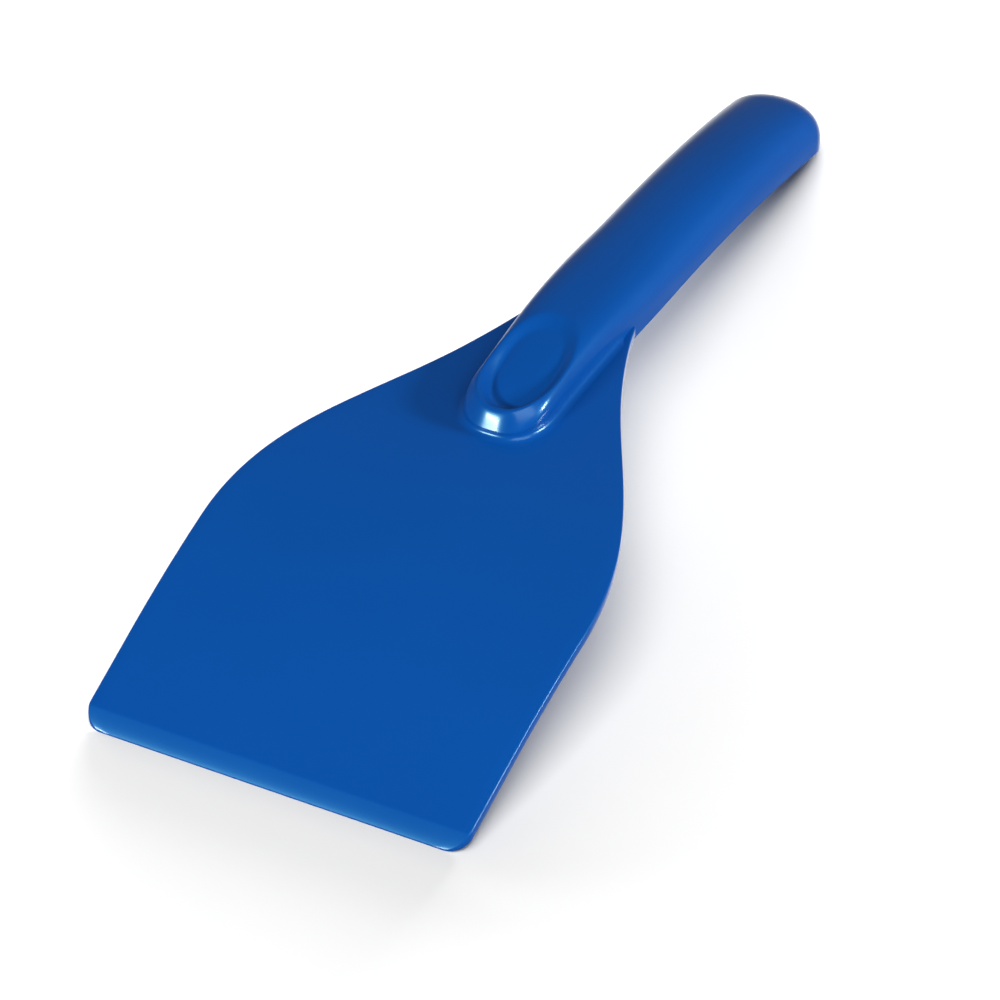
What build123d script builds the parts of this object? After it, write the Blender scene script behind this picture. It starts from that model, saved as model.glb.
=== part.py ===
from build123d import *
from math import cos, radians, sin, tan
import os

# Windshield ice scraper, millimetres, +Z up, symmetric about X = 0.
# Stations along Y are counted from the scraping edge (0) to the end of the handle (LENGTH).
# The finished pieces are then moved, so that the origin is the bottom centre of the scraper.
# It stands on its scraping edge and on the far end of the handle, and is arched between them.

LENGTH = 282.5

# blade
EDGE_WIDTH = 97.4
MAX_WIDTH = 98.6
SIDE_END_Y = 60.0            # the sides are nearly parallel up to here
BLADE_THICKNESS = 2.5
BLADE_SLOPE = 17.2           # degrees, front of the blade above the horizontal
CROWN_Z = 22.5               # upper surface at the top of the arch
BEND_RADIUS = 277.0          # upper surface, between the sloping front and the level crown
BEVEL_RUN = 3.8              # along Y, from the scraping edge to the upper surface
EDGE_LAND = 0.4              # blunt face left on the scraping edge
EDGE_CORNER_RADIUS = 5.0
NECK_HALF_WIDTH = 12.7
NECK_Y = 163.0
NECK_TAPER = 0.2             # lean of the outline where the shoulders run into the neck
# (half width, station) of the blade behind its parallel sides
SHOULDER_POINTS = (
    (MAX_WIDTH / 2, SIDE_END_Y),
    (46.0, 83.5),
    (33.4, 113.0),
    (23.7, 132.0),
    (15.6, 152.5),
    (NECK_HALF_WIDTH, NECK_Y),
)

# tang: the tongue of the blade that lies inside the handle
TANG_HALF_WIDTH = 9.8
TANG_START_Y = 167.0
TANG_END_Y = 214.0
TANG_THICKNESS = 2.0
TANG_CORNER_RADIUS = 5.0
TANG_HOLE_RADIUS = 2.7

# handle shell
ARCH_START_Y = 140.0         # the crown is level up to here, then falls towards the handle's end
RIM_RADIUS = 555.3           # arc of the lower rim, seen from the side; it ends on the ground
RIM_Z = 18.6                 # rim at the start of that arc
RIM_START_Y = 164.0
HANDLE_HALF_WIDTH = 12.7
FULL_WIDTH_Y = 185.0
NOSE_HALF_WIDTH = 11.3
NOSE_TIP_Y = 109.8
TOP_EDGE_RADIUS = 9.5
WALL = 2.4
# (station, height) of the top of the handle
TOP_POINTS = (
    (NOSE_TIP_Y - 5.0, 27.4),
    (118.0, 29.6),
    (135.0, 31.4),
    (152.0, 31.6),
    (180.0, 29.6),
    (215.0, 26.2),
    (250.0, 20.3),
    (272.0, 14.6),
    (LENGTH + 5.0, 9.4),
)

# thumb rest: an oval hollow in the top of the nose
THUMB_Y = 133.5
THUMB_HALF_LENGTH = 17.5
THUMB_HALF_WIDTH = 8.8
THUMB_DEPTH = 3.6
THUMB_TILT = 5.0             # degrees, the hollow rises towards the grip
THUMB_TOP_Z = 31.4           # top of the nose before it is hollowed

# underside cover, and the posts and pegs that hold it
COVER_START_Y = 172.0
COVER_THICKNESS = 1.8
COVER_GAP = 0.1
POST_STATIONS = (181.0, 203.0, 258.0)
POST_RADIUS = 2.5
PEG_RADIUS = 1.3
PEG_GAP = 0.05
PEG_LENGTH = 4.0
PEG_END_GAP = 0.3            # between a peg's end and the bottom of its bore
COVER_OVERLAP = 0.5          # how far a peg's foot reaches into the cover that it stands on

HIGH = 60.0                  # more than every height and half width, for cutting tools


def side_point(y, z):
    return Vector(0, y, z)


def arc_z(y, rise):
    """Height of the curve that lies a given rise above the handle's lower rim."""
    if y <= ARCH_START_Y:
        return RIM_Z + rise
    radius = RIM_RADIUS + rise
    return RIM_Z - RIM_RADIUS + (radius**2 - (y - ARCH_START_Y) ** 2) ** 0.5


def arc_edge(start_y, end_y, rise):
    """Part of the falling arc behind the crown, concentric with the lower rim."""
    middle_y = (start_y + end_y) / 2
    return ThreePointArc(*(side_point(y, arc_z(y, rise)) for y in (start_y, middle_y, end_y)))


def blade_edges(depth, start_y, end_y):
    """Side view of the blade at a depth under its upper surface: slope, bend, crown and fall."""
    slope = radians(BLADE_SLOPE)
    above_sole = BLADE_THICKNESS - depth
    level_z = CROWN_Z - depth
    start_z = above_sole * cos(slope) + (start_y + above_sole * sin(slope)) * tan(slope)
    knee_y = start_y + (level_z - start_z) / tan(slope)
    run = (BEND_RADIUS - depth) * tan(slope / 2)
    bend_start = side_point(knee_y - run * cos(slope), level_z - run * sin(slope))
    bend_end = side_point(knee_y + run, level_z)
    crown_end = side_point(ARCH_START_Y, level_z)
    return [
        Line(side_point(start_y, start_z), bend_start),
        TangentArc(bend_start, bend_end, tangent=side_point(cos(slope), sin(slope))),
        Line(bend_end, crown_end),
        arc_edge(ARCH_START_Y, end_y, level_z - RIM_Z),
    ]


def closed_face(edges):
    """A face from a chain of edges, closed by a straight line if its ends are apart."""
    start, end = edges[0] @ 0, edges[-1] @ 1
    if (start - end).length > 0.001:
        edges = edges + [Line(end, start)]
    return make_face(edges)


def across(face):
    """A side profile made into a solid that is wider than the scraper."""
    return Pos(-HIGH, 0, 0) * extrude(face, amount=2 * HIGH, dir=(1, 0, 0))


def upright(face):
    """A plan outline made into a solid that is taller than the scraper."""
    return Pos(0, 0, -HIGH) * extrude(face, amount=2 * HIGH)


def mirrored_outline(edges):
    """A face from the +X half of a plan outline, which starts and ends on X = 0."""
    return make_face(edges + [edge.mirror(Plane.YZ) for edge in edges])


def band(start_y, end_y, low_rise, high_rise):
    """A slab that follows the falling arc, between two rises above the rim."""
    low = arc_edge(start_y, end_y, low_rise)
    high = arc_edge(end_y, start_y, high_rise)
    return across(closed_face([low, Line(low @ 1, high @ 0), high]))


def handle_plan(inset):
    """Plan outline of the handle, inset all round: round nose, straight sides, round end."""
    nose = NOSE_HALF_WIDTH - inset
    end = HANDLE_HALF_WIDTH - inset
    nose_y = NOSE_TIP_Y + NOSE_HALF_WIDTH
    end_y = LENGTH - HANDLE_HALF_WIDTH
    return mirrored_outline(
        [
            CenterArc((0, nose_y), nose, -90, 90),
            Spline([(nose, nose_y), (end, FULL_WIDTH_Y)], tangents=[(0, 1), (0, 1)]),
            Line((end, FULL_WIDTH_Y), (end, end_y)),
            CenterArc((0, end_y), end, 0, 90),
        ]
    )


def under_rim(rise):
    """Everything under the curve that lies a given rise above the handle's lower rim."""
    front_y, back_y = 0.0, LENGTH + WALL
    level = Line(side_point(front_y, RIM_Z + rise), side_point(ARCH_START_Y, RIM_Z + rise))
    fall = arc_edge(ARCH_START_Y, back_y, rise)
    low_back, low_front = side_point(back_y, -HIGH), side_point(front_y, -HIGH)
    return across(closed_face([level, fall, Line(fall @ 1, low_back), Line(low_back, low_front)]))


def handle_block(inset, rise):
    """The handle's outer or inner form: plan and side profile, with a rounded top edge."""
    top = Spline([side_point(y, z - inset) for y, z in reversed(TOP_POINTS)])
    low_front, low_back = (side_point(TOP_POINTS[i][0], -HIGH) for i in (0, -1))
    side = closed_face([Line(low_front, low_back), Line(low_back, top @ 0), top])
    block = upright(handle_plan(inset)) & across(side)
    top_edges = block.faces().sort_by(Axis.Z)[-1].edges()
    return fillet(top_edges, TOP_EDGE_RADIUS - inset) - under_rim(rise)


def thumb_hollow(offset):
    """The ellipsoid that hollows the thumb rest, grown by an offset."""
    ball = scale(
        Sphere(1.0),
        by=(THUMB_HALF_WIDTH + offset, THUMB_HALF_LENGTH + offset, THUMB_HALF_WIDTH + offset),
    )
    height = THUMB_TOP_Z + THUMB_HALF_WIDTH - THUMB_DEPTH
    return Location((0, THUMB_Y, height), (THUMB_TILT, 0, 0)) * ball


def make_blade():
    top = blade_edges(0, BEVEL_RUN, TANG_END_Y)
    sole = blade_edges(BLADE_THICKNESS, 0, TANG_END_Y)
    land = side_point(0, EDGE_LAND)
    side = make_face(
        [
            *sole,
            Line(sole[-1] @ 1, top[-1] @ 1),
            *top,
            Line(top[0] @ 0, land),
            Line(land, sole[0] @ 0),
        ]
    )
    half_edge = EDGE_WIDTH / 2
    corner = EDGE_CORNER_RADIUS
    tang = TANG_CORNER_RADIUS
    plan = mirrored_outline(
        [
            Line((0, 0), (half_edge - corner, 0)),
            CenterArc((half_edge - corner, corner), corner, -90, 90),
            Line((half_edge, corner), (MAX_WIDTH / 2, SIDE_END_Y)),
            Spline(SHOULDER_POINTS, tangents=[(0, 1), (-NECK_TAPER, 1)]),
            Line((NECK_HALF_WIDTH, NECK_Y), (TANG_HALF_WIDTH, TANG_START_Y)),
            Line((TANG_HALF_WIDTH, TANG_START_Y), (TANG_HALF_WIDTH, TANG_END_Y - tang)),
            CenterArc((TANG_HALF_WIDTH - tang, TANG_END_Y - tang), tang, 0, 90),
            Line((TANG_HALF_WIDTH - tang, TANG_END_Y), (0, TANG_END_Y)),
        ]
    )
    blade = across(side) & upright(plan)
    rise = CROWN_Z - RIM_Z
    blade -= band(COVER_START_Y, TANG_END_Y + 1, 0, rise - TANG_THICKNESS)
    for y in POST_STATIONS:
        if y < TANG_END_Y:
            blade -= Pos(0, y, 0) * Cylinder(TANG_HOLE_RADIUS, 2 * HIGH)
    return blade


def under_blade():
    """Everything under the blade's upper surface in front of where the handle's rim starts."""
    top = blade_edges(0, BEVEL_RUN, RIM_START_Y)
    corner = side_point(RIM_START_Y, 0)
    return across(closed_face([*top, Line(top[-1] @ 1, corner), Line(corner, side_point(0, 0))]))


def make_handle():
    shell = handle_block(0, 0) - thumb_hollow(0)
    cavity = handle_block(WALL, -WALL) - thumb_hollow(WALL)
    posts = []
    for y in POST_STATIONS:
        posts.append(Pos(0, y, 0) * Cylinder(POST_RADIUS, 2 * HIGH))
    cover_top = COVER_THICKNESS + COVER_GAP
    post_zone = band(COVER_START_Y, LENGTH, cover_top, HIGH)
    for post in posts:
        cavity -= post & post_zone
    shell -= cavity
    shell -= upright(handle_plan(WALL)) & band(RIM_START_Y, LENGTH, -WALL, cover_top)
    for y in POST_STATIONS:
        bore_top = arc_z(y, cover_top + PEG_LENGTH)
        bore = Cylinder(PEG_RADIUS + PEG_GAP, bore_top, align=(Align.CENTER, Align.CENTER, Align.MIN))
        shell -= Pos(0, y, 0) * bore
    return shell - under_blade() - make_blade()


def make_cover():
    gap = WALL + COVER_GAP
    plate = upright(handle_plan(gap)) & band(COVER_START_Y, LENGTH, 0, COVER_THICKNESS)
    for y in POST_STATIONS:
        height = arc_z(y, COVER_THICKNESS + PEG_LENGTH - PEG_END_GAP)
        peg = Cylinder(PEG_RADIUS, height, align=(Align.CENTER, Align.CENTER, Align.MIN))
        plate += Pos(0, y, 0) * peg & band(COVER_START_Y, LENGTH, COVER_OVERLAP, HIGH)
    return plate


PIECES = {
    "scraper_blade": make_blade,
    "handle_shell": make_handle,
    "handle_underside_cover": make_cover,
}

os.makedirs("parts", exist_ok=True)
for name, make in PIECES.items():
    piece = Pos(0, -LENGTH / 2, 0) * make()
    piece.label = name
    export_step(piece, f"parts/{name}.step")
    box = piece.bounding_box()
    print(name, len(piece.solids()), round(piece.volume), box.min, box.max)
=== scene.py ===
import math

import bmesh
import bpy
import numpy as np
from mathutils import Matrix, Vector


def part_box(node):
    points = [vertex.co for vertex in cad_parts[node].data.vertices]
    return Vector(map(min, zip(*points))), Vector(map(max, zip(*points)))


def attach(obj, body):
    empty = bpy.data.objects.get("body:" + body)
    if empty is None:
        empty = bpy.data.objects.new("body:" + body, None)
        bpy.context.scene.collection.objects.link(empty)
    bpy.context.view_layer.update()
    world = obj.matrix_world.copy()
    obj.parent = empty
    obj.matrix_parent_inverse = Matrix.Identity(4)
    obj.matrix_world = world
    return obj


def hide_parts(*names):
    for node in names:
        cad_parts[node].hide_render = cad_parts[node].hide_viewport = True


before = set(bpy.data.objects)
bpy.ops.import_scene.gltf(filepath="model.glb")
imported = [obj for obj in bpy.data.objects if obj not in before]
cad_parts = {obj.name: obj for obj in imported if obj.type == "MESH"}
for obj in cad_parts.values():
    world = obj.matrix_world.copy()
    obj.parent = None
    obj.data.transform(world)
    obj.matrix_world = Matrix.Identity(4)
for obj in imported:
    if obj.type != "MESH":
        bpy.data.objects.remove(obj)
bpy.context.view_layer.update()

MM = 0.001
QUARTER_TURN = math.pi / 2

# ---------------------------------------------------------------- places, from the frame, mm
blade_low, blade_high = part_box("scraper_blade")
shell_low, shell_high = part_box("handle_shell")
EDGE_Y = blade_low.y / MM                    # the scraping edge; stations are counted from it
LENGTH = (shell_high.y - blade_low.y) / MM
CROWN_Z = blade_high.z / MM
MAX_HALF_WIDTH = blade_high.x / MM
HANDLE_HALF_WIDTH = shell_high.x / MM
NOSE_TIP_Y = shell_low.y / MM - EDGE_Y
TANG_END_Y = blade_high.y / MM - EDGE_Y

# ---------------------------------------------------------------- the blade, mm
BLADE_THICKNESS = 2.5
BLADE_SLOPE = math.radians(17.2)
BEND_RADIUS = 277.0
BEVEL_RUN = 3.8
BEVEL_BULGE = 0.07                           # share of the bevel's rise that comes early, at its foot
BEVEL_SOFTNESS = 0.12                        # rounding where the bevel meets the upper face
EDGE_LAND = 0.4
EDGE_CORNER_RADIUS = 5.0
EDGE_HALF_WIDTH = 48.7
SIDE_END_Y = 60.0
NECK_POINT_Y, NECK_POINT_HALF_WIDTH = 163.0, 12.7
SHOULDER_POINTS = ((SIDE_END_Y, MAX_HALF_WIDTH), (83.5, 46.0), (113.0, 33.4), (132.0, 23.7),
                   (152.5, 15.6), (NECK_POINT_Y, NECK_POINT_HALF_WIDTH))
SHOULDER_END_SLOPE = -0.2
TANG_HALF_WIDTH = 9.8
TANG_START_Y = 167.0
EDGE_ROUND, SOLE_ROUND = 0.4, 0.2            # rounding along its upper and lower outlines
EDGE_ROUND_SHARE, SOLE_ROUND_SHARE = 0.45, 0.3    # and the most of the thickness they may take

# ---------------------------------------------------------------- the handle, mm
ARCH_START_Y = 140.0                         # behind it the blade and the rim fall in arcs
RIM_RADIUS = 555.3
RIM_Z = 18.6
RIM_UPRIGHT = 1.5                            # height of the upright part of the rim, outside
INNER_UPRIGHT = 1.0                          # and inside
INNER_START_TURN = 0.15                      # radians up its rounding where the inside starts
WALL = 2.4
FULL_WIDTH_Y = 185.0
TOP_POINTS = ((104.8, 27.4), (118.0, 30.0), (135.0, 31.6), (152.0, 31.9), (180.0, 30.0),
              (215.0, 26.3), (250.0, 20.6), (272.0, 15.1), (285.0, 10.2), (290.0, 7.6))
SECTION_POWER = 2.5                          # the grip's cross section is half a superellipse
BOXY_SIDE, BOXY_TOP = 1.2, 0.9               # added to that power over the nose
BOXY_UNTIL_Y, PLAIN_FROM_Y = 125.0, 200.0    # where the addition fades out

NOSE_HALF_WIDTH = 10.8
NOSE_LENGTH = 15.0
NOSE_POWER = 2.6                             # the nose is half a superellipse in plan
FACE_SLOPE = math.tan(math.radians(60))      # the flat front face of the nose
FACE_TURN = (0.1, 1.3)                       # radians round the nose over which that face comes in
FACE_FOOT_RISE = 0.25                        # how far the foot of that face is eased upwards
LIP_ROUND = 1.7
CREASE_RADIUS = 1.8                          # where the nose meets the blade
NECK_START_Y, NECK_END_Y = 155.0, 164.0      # where the handle's foot leaves the blade
FOOT_START_Y, FOOT_END_Y = 146.0, 200.0      # where its rounded part comes down to the rim

THUMB_Y = 130.7
THUMB_HALF_LENGTH = 18.3
THUMB_HALF_WIDTH = 9.8
THUMB_POWER = 2.3                            # the thumb rest is a superellipse in plan
THUMB_DEPTH = 4.4                            # at its front
THUMB_SHALLOWING = 3.0                       # how much less deep it is at its back
THUMB_SLOPE_SPAN = (-0.7, 0.9)               # where that happens, in half lengths from its middle
THUMB_FLAT_SHARE = 0.66                      # the part of its width inside the sloping border

# ---------------------------------------------------------------- mesh density, in points
BLADE_ACROSS = 33
EDGE_CORNER_STEPS, EDGE_ROUND_STEPS = 15, 6
NOSE_STEPS, END_STEPS = 50, 30
OUTSIDE_STEPS, CREASE_STEPS, INSIDE_STEPS = 90, 8, 20

# ---------------------------------------------------------------- looks, m
BLUE = (0.001, 0.065, 0.312)
BLUE_SHEEN = (0.12, 0.85, 1.0)
COLOUR_SPREAD, ROUGHNESS_SPREAD = 0.05, 0.04
FLOW_SCALE, GRAIN_SCALE = 22.0, 2600.0       # noise per metre
GRAIN_HEIGHT = 0.00005
FLOOR_WHITE = (0.9, 0.9, 0.9)
FLOOR_HALF_SIZE = 6.0

# ---------------------------------------------------------------- light and camera, m
LIGHT_DISTANCE = 1.6
FAR_AND_LOW = (-0.344, 0.687, -0.640)        # the bright side of the room, as a direction
BRIGHT_FROM = 0.82                           # cosine of the angle from it where the light starts
ROOM_DIM, ROOM_BRIGHT = 0.1, 1.6
FOCAL_LENGTH_MM, SENSOR_WIDTH_MM = 216.0, 36.0
CAMERA_AIM = Vector((0.02655, EDGE_Y * MM + 0.0626, 0.0482))
CAMERA_AZIMUTH, CAMERA_ELEVATION = 26.573, 39.8
CAMERA_DISTANCE = 1.35


# ---------------------------------------------------------------- curves
def spline(points, start_slope=None, end_slope=None):
    """A smooth curve through (station, value) points, as a function of the station."""
    x, y = np.array(points, float).T
    n = len(x)
    a, b = np.zeros((n, n)), np.zeros(n)
    for i in range(1, n - 1):
        left, right = x[i] - x[i - 1], x[i + 1] - x[i]
        a[i, i - 1:i + 2] = 1 / left, 2 / left + 2 / right, 1 / right
        b[i] = 3 * ((y[i] - y[i - 1]) / left**2 + (y[i + 1] - y[i]) / right**2)
    first, last = x[1] - x[0], x[-1] - x[-2]
    a[0, :2], b[0] = (2 / first, 1 / first), 3 * (y[1] - y[0]) / first**2
    a[-1, -2:], b[-1] = (1 / last, 2 / last), 3 * (y[-1] - y[-2]) / last**2
    for end, slope in ((0, start_slope), (-1, end_slope)):
        if slope is not None:
            a[end], b[end] = 0, slope
            a[end, end] = 1
    slopes = np.linalg.solve(a, b)

    def value(s):
        s = np.asarray(s, float)
        i = np.clip(np.searchsorted(x, s) - 1, 0, n - 2)
        h = x[i + 1] - x[i]
        t = (s - x[i]) / h
        return ((1 + 2 * t) * (1 - t) ** 2 * y[i] + t * (1 - t) ** 2 * h * slopes[i]
                + t * t * (3 - 2 * t) * y[i + 1] + t * t * (t - 1) * h * slopes[i + 1])
    return value


def smooth(x, low, high):
    """0 below low, 1 above high, and a smooth step between them."""
    t = np.clip((np.asarray(x, float) - low) / (high - low), 0, 1)
    return t * t * (3 - 2 * t)


def soft_min(a, b, softness):
    """The lower of two heights, with the corner between them rounded off."""
    return 0.5 * (a + b - np.sqrt((a - b) ** 2 + softness**2))


def stations(*spans):
    """Stations along the length: (start, end, step) spans, each divided evenly."""
    found = []
    for start, end, step in spans:
        found += list(np.linspace(start, end, max(2, round((end - start) / step) + 1))[:-1])
    return np.array(found + [spans[-1][1]])


def arc_z(y, rise):
    """The curve a given rise above the handle's lower rim: level, then a falling arc."""
    past = np.maximum(np.asarray(y, float) - ARCH_START_Y, 0)
    return RIM_Z - RIM_RADIUS + np.sqrt((RIM_RADIUS + rise) ** 2 - past**2)


def blade_z(y, depth):
    """The blade's side curve at a depth under its upper surface; y starts at the edge.

    It is a straight slope, an arc that bends level, and the arc that it shares with the rim.
    """
    y = np.asarray(y, float)
    up = BLADE_THICKNESS - depth
    level = CROWN_Z - depth
    line = up * math.cos(BLADE_SLOPE) + (y + up * math.sin(BLADE_SLOPE)) * math.tan(BLADE_SLOPE)
    radius = BEND_RADIUS - depth
    knee = (level - line[0]) / math.tan(BLADE_SLOPE) + y[0]
    bend_end = knee + radius * math.tan(BLADE_SLOPE / 2)
    bend_run = radius * math.sin(BLADE_SLOPE)
    before = np.clip(bend_end - y, 0, bend_run)
    bend = level - radius + np.sqrt(radius**2 - before**2)
    z = np.where(bend_end - y > bend_run, line, bend)
    return np.where(y > ARCH_START_Y, arc_z(y, level - RIM_Z), z)


shoulder = spline(SHOULDER_POINTS, 0.0, SHOULDER_END_SLOPE)
handle_top = spline(TOP_POINTS)


def blade_half_width(y):
    """Rounded corner, almost parallel side, shoulder and neck, then the tang."""
    y = np.asarray(y, float)
    corner = EDGE_CORNER_RADIUS
    side = EDGE_HALF_WIDTH + (MAX_HALF_WIDTH - EDGE_HALF_WIDTH) * np.clip(
        (y - corner) / (SIDE_END_Y - corner), 0, 1)
    into = np.clip(corner - y, 0, corner)
    width = side - corner + np.sqrt(corner**2 - into**2)
    width = np.where(y > SIDE_END_Y, shoulder(np.minimum(y, NECK_POINT_Y)), width)
    tang = np.interp(y, (NECK_POINT_Y, TANG_START_Y), (NECK_POINT_HALF_WIDTH, TANG_HALF_WIDTH))
    return np.where(y > NECK_POINT_Y, tang, width)


def handle_half_width(y):
    """Narrow over the nose, and full width along the grip."""
    grow = smooth(y, NOSE_TIP_Y + NOSE_LENGTH, FULL_WIDTH_Y)
    return NOSE_HALF_WIDTH + (HANDLE_HALF_WIDTH - NOSE_HALF_WIDTH) * grow


def thumb_depth(x, y):
    """Depth of the thumb rest: a steep lip at its front, and shallower towards the grip."""
    along = (y - THUMB_Y) / THUMB_HALF_LENGTH
    across = x / THUMB_HALF_WIDTH
    far = (np.abs(along) ** THUMB_POWER + np.abs(across) ** THUMB_POWER) ** (1 / THUMB_POWER)
    depth = THUMB_DEPTH - THUMB_SHALLOWING * smooth(along, *THUMB_SLOPE_SPAN)
    return depth * (1 - smooth(far, THUMB_FLAT_SHARE, 1.0))


# ---------------------------------------------------------------- meshes
def grid_faces(count, width, rings):
    """Faces that join each row of points to the next, where the rows may be closed rings."""
    faces = []
    for i in range(count - 1):
        for j in range(width if rings else width - 1):
            k = (j + 1) % width
            faces.append((i * width + j, i * width + k, (i + 1) * width + k, (i + 1) * width + j))
    return faces


def make_skin(name, rows, faces, material, sharp_deg):
    """A smooth-shaded piece, from rows of points in mm from the scraping edge and their faces."""
    rows = np.array(rows, float)
    rows[..., 1] += EDGE_Y
    rows *= MM
    mesh = bpy.data.meshes.new(name)
    mesh.from_pydata(rows.reshape(-1, 3).tolist(), [], faces)
    piece = bpy.data.objects.new(name, mesh)
    bpy.context.collection.objects.link(piece)
    clean_up(mesh)
    mesh.polygons.foreach_set("use_smooth", [True] * len(mesh.polygons))
    mesh.set_sharp_from_angle(angle=math.radians(sharp_deg))
    mesh.materials.append(material)
    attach(piece, "root")
    return piece


def clean_up(mesh):
    """Merges doubled points, drops faces with no area and turns the rest outwards."""
    bm = bmesh.new()
    bm.from_mesh(mesh)
    bmesh.ops.remove_doubles(bm, verts=bm.verts, dist=1e-6)
    bmesh.ops.dissolve_degenerate(bm, edges=bm.edges, dist=1e-7)
    bmesh.ops.recalc_face_normals(bm, faces=bm.faces)
    bm.to_mesh(mesh)
    bm.free()


def blade_stations():
    """Where the rings stand: closest round the edge's corners and along the bevel's top."""
    corner = EDGE_CORNER_RADIUS
    turn = np.linspace(0, QUARTER_TURN, EDGE_CORNER_STEPS)
    ys = np.concatenate([
        corner * (1 - np.cos(turn)),
        stations((corner + 0.3, 12.0, 0.6), (12.0, SIDE_END_Y, 2.4),
                 (SIDE_END_Y, NECK_POINT_Y, 1.6), (NECK_POINT_Y, TANG_START_Y, 1.0),
                 (TANG_START_Y, TANG_END_Y, 3.0)),
        BEVEL_RUN + np.linspace(-0.35, 0.35, 8),
    ])
    return np.unique(np.round(ys, 4))


def blade_top(ys):
    """The upper face, cut by a bevel that is slightly rounded and steepest at its foot."""
    upper = blade_z(ys, 0.0)
    top_at_run = float(np.interp(BEVEL_RUN, ys, upper))
    along = ys / BEVEL_RUN
    early = 1 - (1 - np.minimum(along, 1)) ** 4
    rounded = (1 - BEVEL_BULGE) * along + BEVEL_BULGE * early
    bevel = EDGE_LAND + (top_at_run - EDGE_LAND) * rounded
    return soft_min(upper, bevel, BEVEL_SOFTNESS)


def make_blade(material):
    """The plate as rings of points: across the top, down one side, back under, up the other."""
    ys = blade_stations()
    across = np.linspace(-1, 1, BLADE_ACROSS)
    bend = np.linspace(0, QUARTER_TURN, EDGE_ROUND_STEPS)[1:-1]
    sections = zip(ys, blade_top(ys), blade_z(ys, BLADE_THICKNESS), blade_half_width(ys))
    rings = []
    for y, z_top, z_sole, w in sections:
        r = min(EDGE_ROUND, EDGE_ROUND_SHARE * (z_top - z_sole))
        q = min(SOLE_ROUND, SOLE_ROUND_SHARE * (z_top - z_sole))
        side = [(w - r + r * math.sin(a), z_top - r + r * math.cos(a)) for a in bend]
        side += [(w, z_top - r), (w, z_sole + q)]
        side += [(w - q + q * math.cos(a), z_sole + q - q * math.sin(a)) for a in bend]
        ring = [(x * (w - r), z_top) for x in across] + side
        ring += [(-x * (w - q), z_sole) for x in across]
        ring += [(-x, z) for x, z in reversed(side)]
        rings.append([(x, y, z) for x, z in ring])

    width, n = len(rings[0]), len(across)
    half = width // 2                                     # half a ring is the top and one side
    faces = grid_faces(len(rings), width, rings=True)
    for start in (0, (len(rings) - 1) * width):           # the two ends: strips, then both sides
        for i in range(n - 1):
            j = half + (n - 1 - i)
            faces.append([start + k for k in (i, i + 1, j - 1, j)])
        faces.append([start + k for k in range(n - 1, half + 1)])
        faces.append([start + k % width for k in range(half + n - 1, width + 1)])
    return make_skin("blade_skin", rings, faces, material, sharp_deg=40)


def handle_stations():
    """Where each profile of the handle's right side stands, and which way it points.

    The profiles turn round a point in the nose, follow the side, and turn round a point in the
    end of the grip: -90 degrees is forwards, 0 is sideways and 90 is backwards.
    """
    nose_y, end_y = NOSE_TIP_Y + NOSE_LENGTH, LENGTH - HANDLE_HALF_WIDTH
    side_y = stations((nose_y, 170.0, 0.5), (170.0, end_y, 1.2))
    round_nose = np.linspace(-QUARTER_TURN, 0, NOSE_STEPS)[:-1]
    round_end = np.linspace(0, QUARTER_TURN, END_STEPS)[1:]
    feet = [np.full(len(round_nose), nose_y), side_y, np.full(len(round_end), end_y)]
    turns = [round_nose, np.zeros(len(side_y)), round_end]
    return np.concatenate(feet)[:, None], np.concatenate(turns)[:, None]


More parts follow.
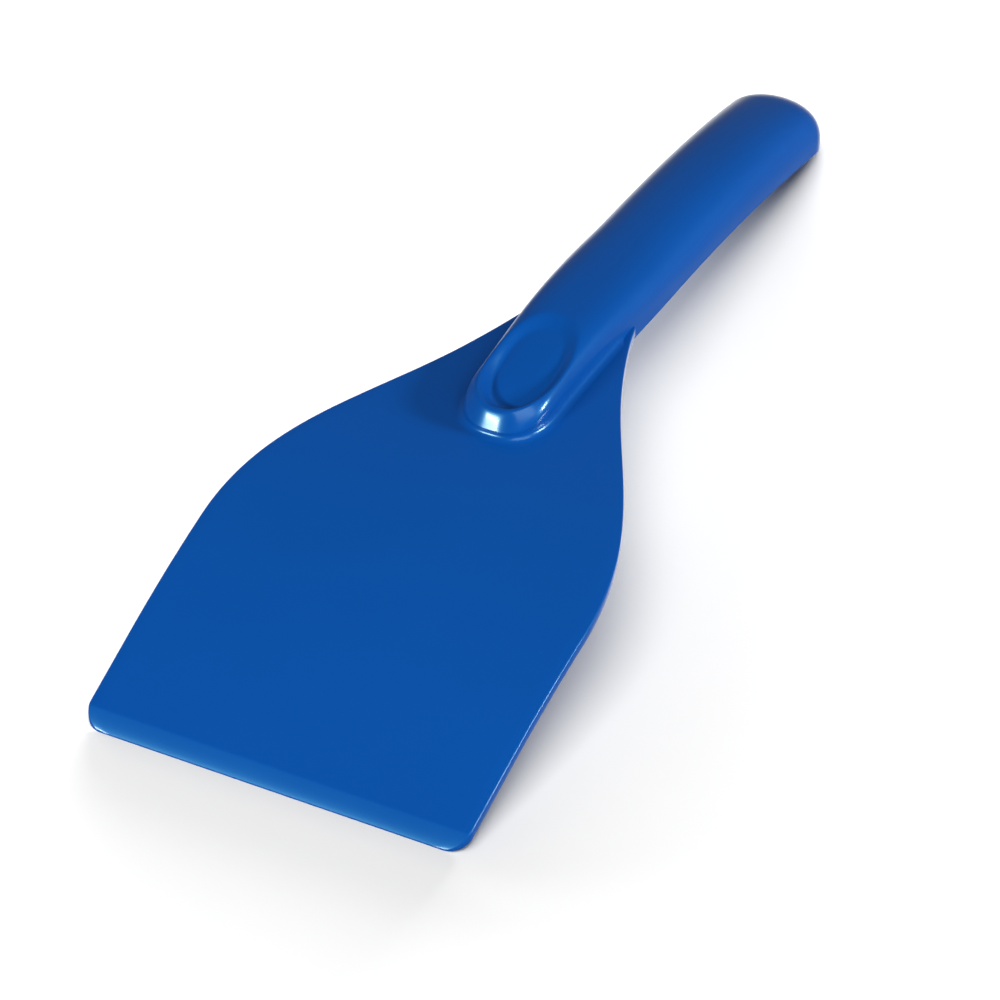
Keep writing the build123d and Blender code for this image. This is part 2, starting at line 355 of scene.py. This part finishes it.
def make_handle(material):
    """The shell as profiles that run from its ridge down the outside, under the rim and up inside.

    Arrays hold one row for each profile and one column for each point along it.
    """
    feet, turns = handle_stations()
    half = handle_half_width(feet)
    reach = np.where(turns < 0, NOSE_LENGTH, half)
    bend = np.where(turns < 0, 2 / NOSE_POWER, 1.0)
    aim_x = np.clip(np.cos(turns), 0, 1) ** bend
    aim_y = np.sign(turns) * np.abs(np.sin(turns)) ** bend
    rim_y = feet + aim_y * half * (turns > 0)

    front = smooth(-turns, *FACE_TURN)                    # 1 at the very front of the nose
    on_blade = 1 - smooth(feet, NECK_START_Y, NECK_END_Y)
    boxy = 1 - smooth(feet, BOXY_UNTIL_Y, PLAIN_FROM_Y)
    side_power = SECTION_POWER + BOXY_SIDE * boxy
    top_power = SECTION_POWER + BOXY_TOP * boxy

    deck_z = arc_z(feet, CROWN_Z - RIM_Z)
    rim_z = arc_z(rim_y, 0)
    base_z = on_blade * deck_z + (1 - on_blade) * rim_z
    past = smooth(feet, FOOT_START_Y, FOOT_END_Y)
    start_z = (1 - past) * (deck_z + CREASE_RADIUS) + past * (rim_z + RIM_UPRIGHT)

    def dome(half_width, length, angles):
        """Points of the rounded part: angle 0 is its foot and 90 degrees is the ridge."""
        rho = np.cos(angles) ** (2 / side_power)
        share = np.sin(angles) ** (2 / top_power)
        x, y = rho * half_width * aim_x, feet + rho * length * aim_y
        lift = handle_top(y) - start_z
        side = lift * share
        face = (1 - rho) * reach * FACE_SLOPE
        nose = soft_min(face, lift, LIP_ROUND) + FACE_FOOT_RISE * rho**8
        rise = side + (nose - side) * front
        return x, y, start_z + rise - thumb_depth(x, y)

    outside = dome(half, reach, np.linspace(QUARTER_TURN, 0, OUTSIDE_STEPS)[None, :])

    # the crease on the blade, or the upright part of the rim
    down = np.linspace(0, QUARTER_TURN, CREASE_STEPS)[None, 1:]
    out = on_blade * CREASE_RADIUS * (1 - np.cos(down))
    on_way = on_blade * np.sin(down) + (1 - on_blade) * down / QUARTER_TURN
    foot = ((half + out) * aim_x, feet + (reach + out) * aim_y,
            start_z - (start_z - base_z) * on_way)

    inner, inner_reach = half - WALL, reach - WALL
    pair = np.ones((1, 2))
    under_rim = (inner * aim_x * pair, feet + inner_reach * aim_y * pair,
                 np.concatenate([base_z, base_z + INNER_UPRIGHT], 1))
    up = np.linspace(INNER_START_TURN, QUARTER_TURN, INSIDE_STEPS)[None, :]
    x, y, z = dome(inner, inner_reach, up)
    inside = x, y, np.maximum(z - WALL, base_z + INNER_UPRIGHT)

    right = np.concatenate([np.stack(part, -1) for part in (outside, foot, under_rim, inside)], 1)
    left = right[::-1] * (-1, 1, 1)
    rows = np.concatenate([right, left])
    faces = grid_faces(*rows.shape[:2], rings=False)
    return make_skin("handle_skin", rows, faces, material, sharp_deg=50)


# ---------------------------------------------------------------- materials
def plastic(name, colour, roughness, grain):
    """Moulded plastic: fine grain, faint flow variation in colour and gloss, and a satin coat."""
    material = bpy.data.materials.new(name)
    material.use_nodes = True
    nodes, links = material.node_tree.nodes, material.node_tree.links
    shader = nodes["Principled BSDF"]
    where = nodes.new("ShaderNodeTexCoord")

    def noise(scale, detail):
        texture = nodes.new("ShaderNodeTexNoise")
        texture.inputs["Scale"].default_value = scale
        texture.inputs["Detail"].default_value = detail
        links.new(where.outputs["Object"], texture.inputs["Vector"])
        return texture.outputs["Fac"]

    flow = noise(FLOW_SCALE, 3.0)
    tint = nodes.new("ShaderNodeMix")
    tint.data_type = "RGBA"
    factor, darker, lighter = (tint.inputs[i] for i in (0, 6, 7))
    darker.default_value = (*[c * (1 - COLOUR_SPREAD) for c in colour], 1)
    lighter.default_value = (*[c * (1 + COLOUR_SPREAD) for c in colour], 1)
    links.new(flow, factor)
    links.new(tint.outputs[2], shader.inputs["Base Color"])

    rough = nodes.new("ShaderNodeMapRange")
    rough.inputs["To Min"].default_value = roughness - ROUGHNESS_SPREAD
    rough.inputs["To Max"].default_value = roughness + ROUGHNESS_SPREAD
    links.new(flow, rough.inputs["Value"])
    links.new(rough.outputs["Result"], shader.inputs["Roughness"])

    bump = nodes.new("ShaderNodeBump")
    bump.inputs["Strength"].default_value = grain
    bump.inputs["Distance"].default_value = GRAIN_HEIGHT
    links.new(noise(GRAIN_SCALE, 2.0), bump.inputs["Height"])
    links.new(bump.outputs["Normal"], shader.inputs["Normal"])

    shader.inputs["IOR"].default_value = 1.46
    shader.inputs["Specular IOR Level"].default_value = 0.4
    shader.inputs["Specular Tint"].default_value = (*BLUE_SHEEN, 1)
    shader.inputs["Coat Weight"].default_value = 0.4
    shader.inputs["Coat Roughness"].default_value = 0.17
    return material


blade_plastic = plastic("blade_plastic", BLUE, 0.34, 0.25)
handle_plastic = plastic("handle_plastic", BLUE, 0.30, 0.2)
cover_plastic = plastic("cover_plastic", BLUE, 0.45, 0.4)

# ---------------------------------------------------------------- the three pieces
blade = make_blade(blade_plastic)
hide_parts("scraper_blade")
handle = make_handle(handle_plastic)
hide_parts("handle_shell")
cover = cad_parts["handle_underside_cover"]
cover.data.materials.clear()
cover.data.materials.append(cover_plastic)


# ---------------------------------------------------------------- floor, light and camera
def make_floor():
    """A matt pale floor that isn't seen in the scraper's reflections."""
    mesh = bpy.data.meshes.new("floor")
    s = FLOOR_HALF_SIZE
    corners = [(-s, -s, 0), (s, -s, 0), (s, s, 0), (-s, s, 0)]
    mesh.from_pydata(corners, [], [(0, 1, 2, 3)])
    floor = bpy.data.objects.new("floor", mesh)
    bpy.context.collection.objects.link(floor)
    material = bpy.data.materials.new("pale_floor")
    material.use_nodes = True
    shader = material.node_tree.nodes["Principled BSDF"]
    shader.inputs["Base Color"].default_value = (*FLOOR_WHITE, 1)
    shader.inputs["Roughness"].default_value = 1.0
    shader.inputs["Specular IOR Level"].default_value = 0.0
    mesh.materials.append(material)
    floor.visible_glossy = False
    return floor


def direction(azimuth, elevation):
    """From the object towards a place: azimuth 0 is the -Y side and 90 the +X side."""
    a, e = math.radians(azimuth), math.radians(elevation)
    return Vector((math.sin(a) * math.cos(e), -math.cos(a) * math.cos(e), math.sin(e)))


def area_light(name, azimuth, elevation, width, height, radiance, lights_up, shadows=True):
    """A softbox that faces the scraper and lights only the things in lights_up.

    Its angles are in degrees and its width and height in metres.
    """
    light = bpy.data.lights.new(name, "AREA")
    light.shape = "RECTANGLE"
    light.size, light.size_y = width, height
    light.energy = radiance * math.pi * width * height
    lamp = bpy.data.objects.new(name, light)
    bpy.context.collection.objects.link(lamp)
    towards = direction(azimuth, elevation)
    lamp.location = towards * LIGHT_DISTANCE
    lamp.rotation_euler = towards.to_track_quat("Z", "Y").to_euler()
    group = bpy.data.collections.new(name)
    for thing in lights_up:
        group.objects.link(thing)
    lamp.light_linking.receiver_collection = group
    if not shadows:
        lamp.light_linking.blocker_collection = bpy.data.collections.new(name + "_blockers")


def make_world():
    """A dim white room that brightens low down on its far side, behind the scraper."""
    world = bpy.data.worlds.new("studio")
    bpy.context.scene.world = world
    world.use_nodes = True
    nodes, links = world.node_tree.nodes, world.node_tree.links
    background = nodes["Background"]
    background.inputs["Color"].default_value = (1, 1, 1, 1)
    where = nodes.new("ShaderNodeTexCoord")
    along = nodes.new("ShaderNodeVectorMath")
    along.operation = "DOT_PRODUCT"
    along.inputs[1].default_value = FAR_AND_LOW
    ramp = nodes.new("ShaderNodeMapRange")
    ramp.inputs["From Min"].default_value = BRIGHT_FROM
    ramp.inputs["From Max"].default_value = 1.0
    ramp.inputs["To Min"].default_value = ROOM_DIM
    ramp.inputs["To Max"].default_value = ROOM_BRIGHT
    links.new(where.outputs["Generated"], along.inputs[0])
    links.new(along.outputs["Value"], ramp.inputs["Value"])
    links.new(ramp.outputs["Result"], background.inputs["Strength"])


def make_camera():
    """A long lens that looks down on the scraper over the right end of its edge."""
    camera = bpy.data.cameras.new("camera")
    camera.lens = FOCAL_LENGTH_MM
    camera.sensor_width = SENSOR_WIDTH_MM
    holder = bpy.data.objects.new("camera", camera)
    bpy.context.collection.objects.link(holder)
    towards = direction(CAMERA_AZIMUTH, CAMERA_ELEVATION)
    holder.location = CAMERA_AIM + towards * CAMERA_DISTANCE
    holder.rotation_euler = towards.to_track_quat("Z", "Y").to_euler()
    bpy.context.scene.camera = holder


floor = make_floor()
scraper = (blade, handle, cover)
area_light("key", -22, 25, 0.46, 0.12, 115, scraper)
area_light("fill", 60, 50, 1.2, 1.0, 3.2, scraper)
area_light("right", 108, 22, 0.4, 0.24, 76, scraper)
area_light("floor_back", 195, 10, 1.3, 0.3, 60, (floor,))
area_light("floor_left", 245, 14, 1.0, 0.3, 16, (floor,))
area_light("floor_front", 300, 14, 1.6, 0.4, 2, (floor,))
area_light("floor_even", 0, 80, 1.6, 1.6, 2.8, (floor,), shadows=False)
make_world()
make_camera()
bpy.context.scene.view_settings.view_transform = "Standard"
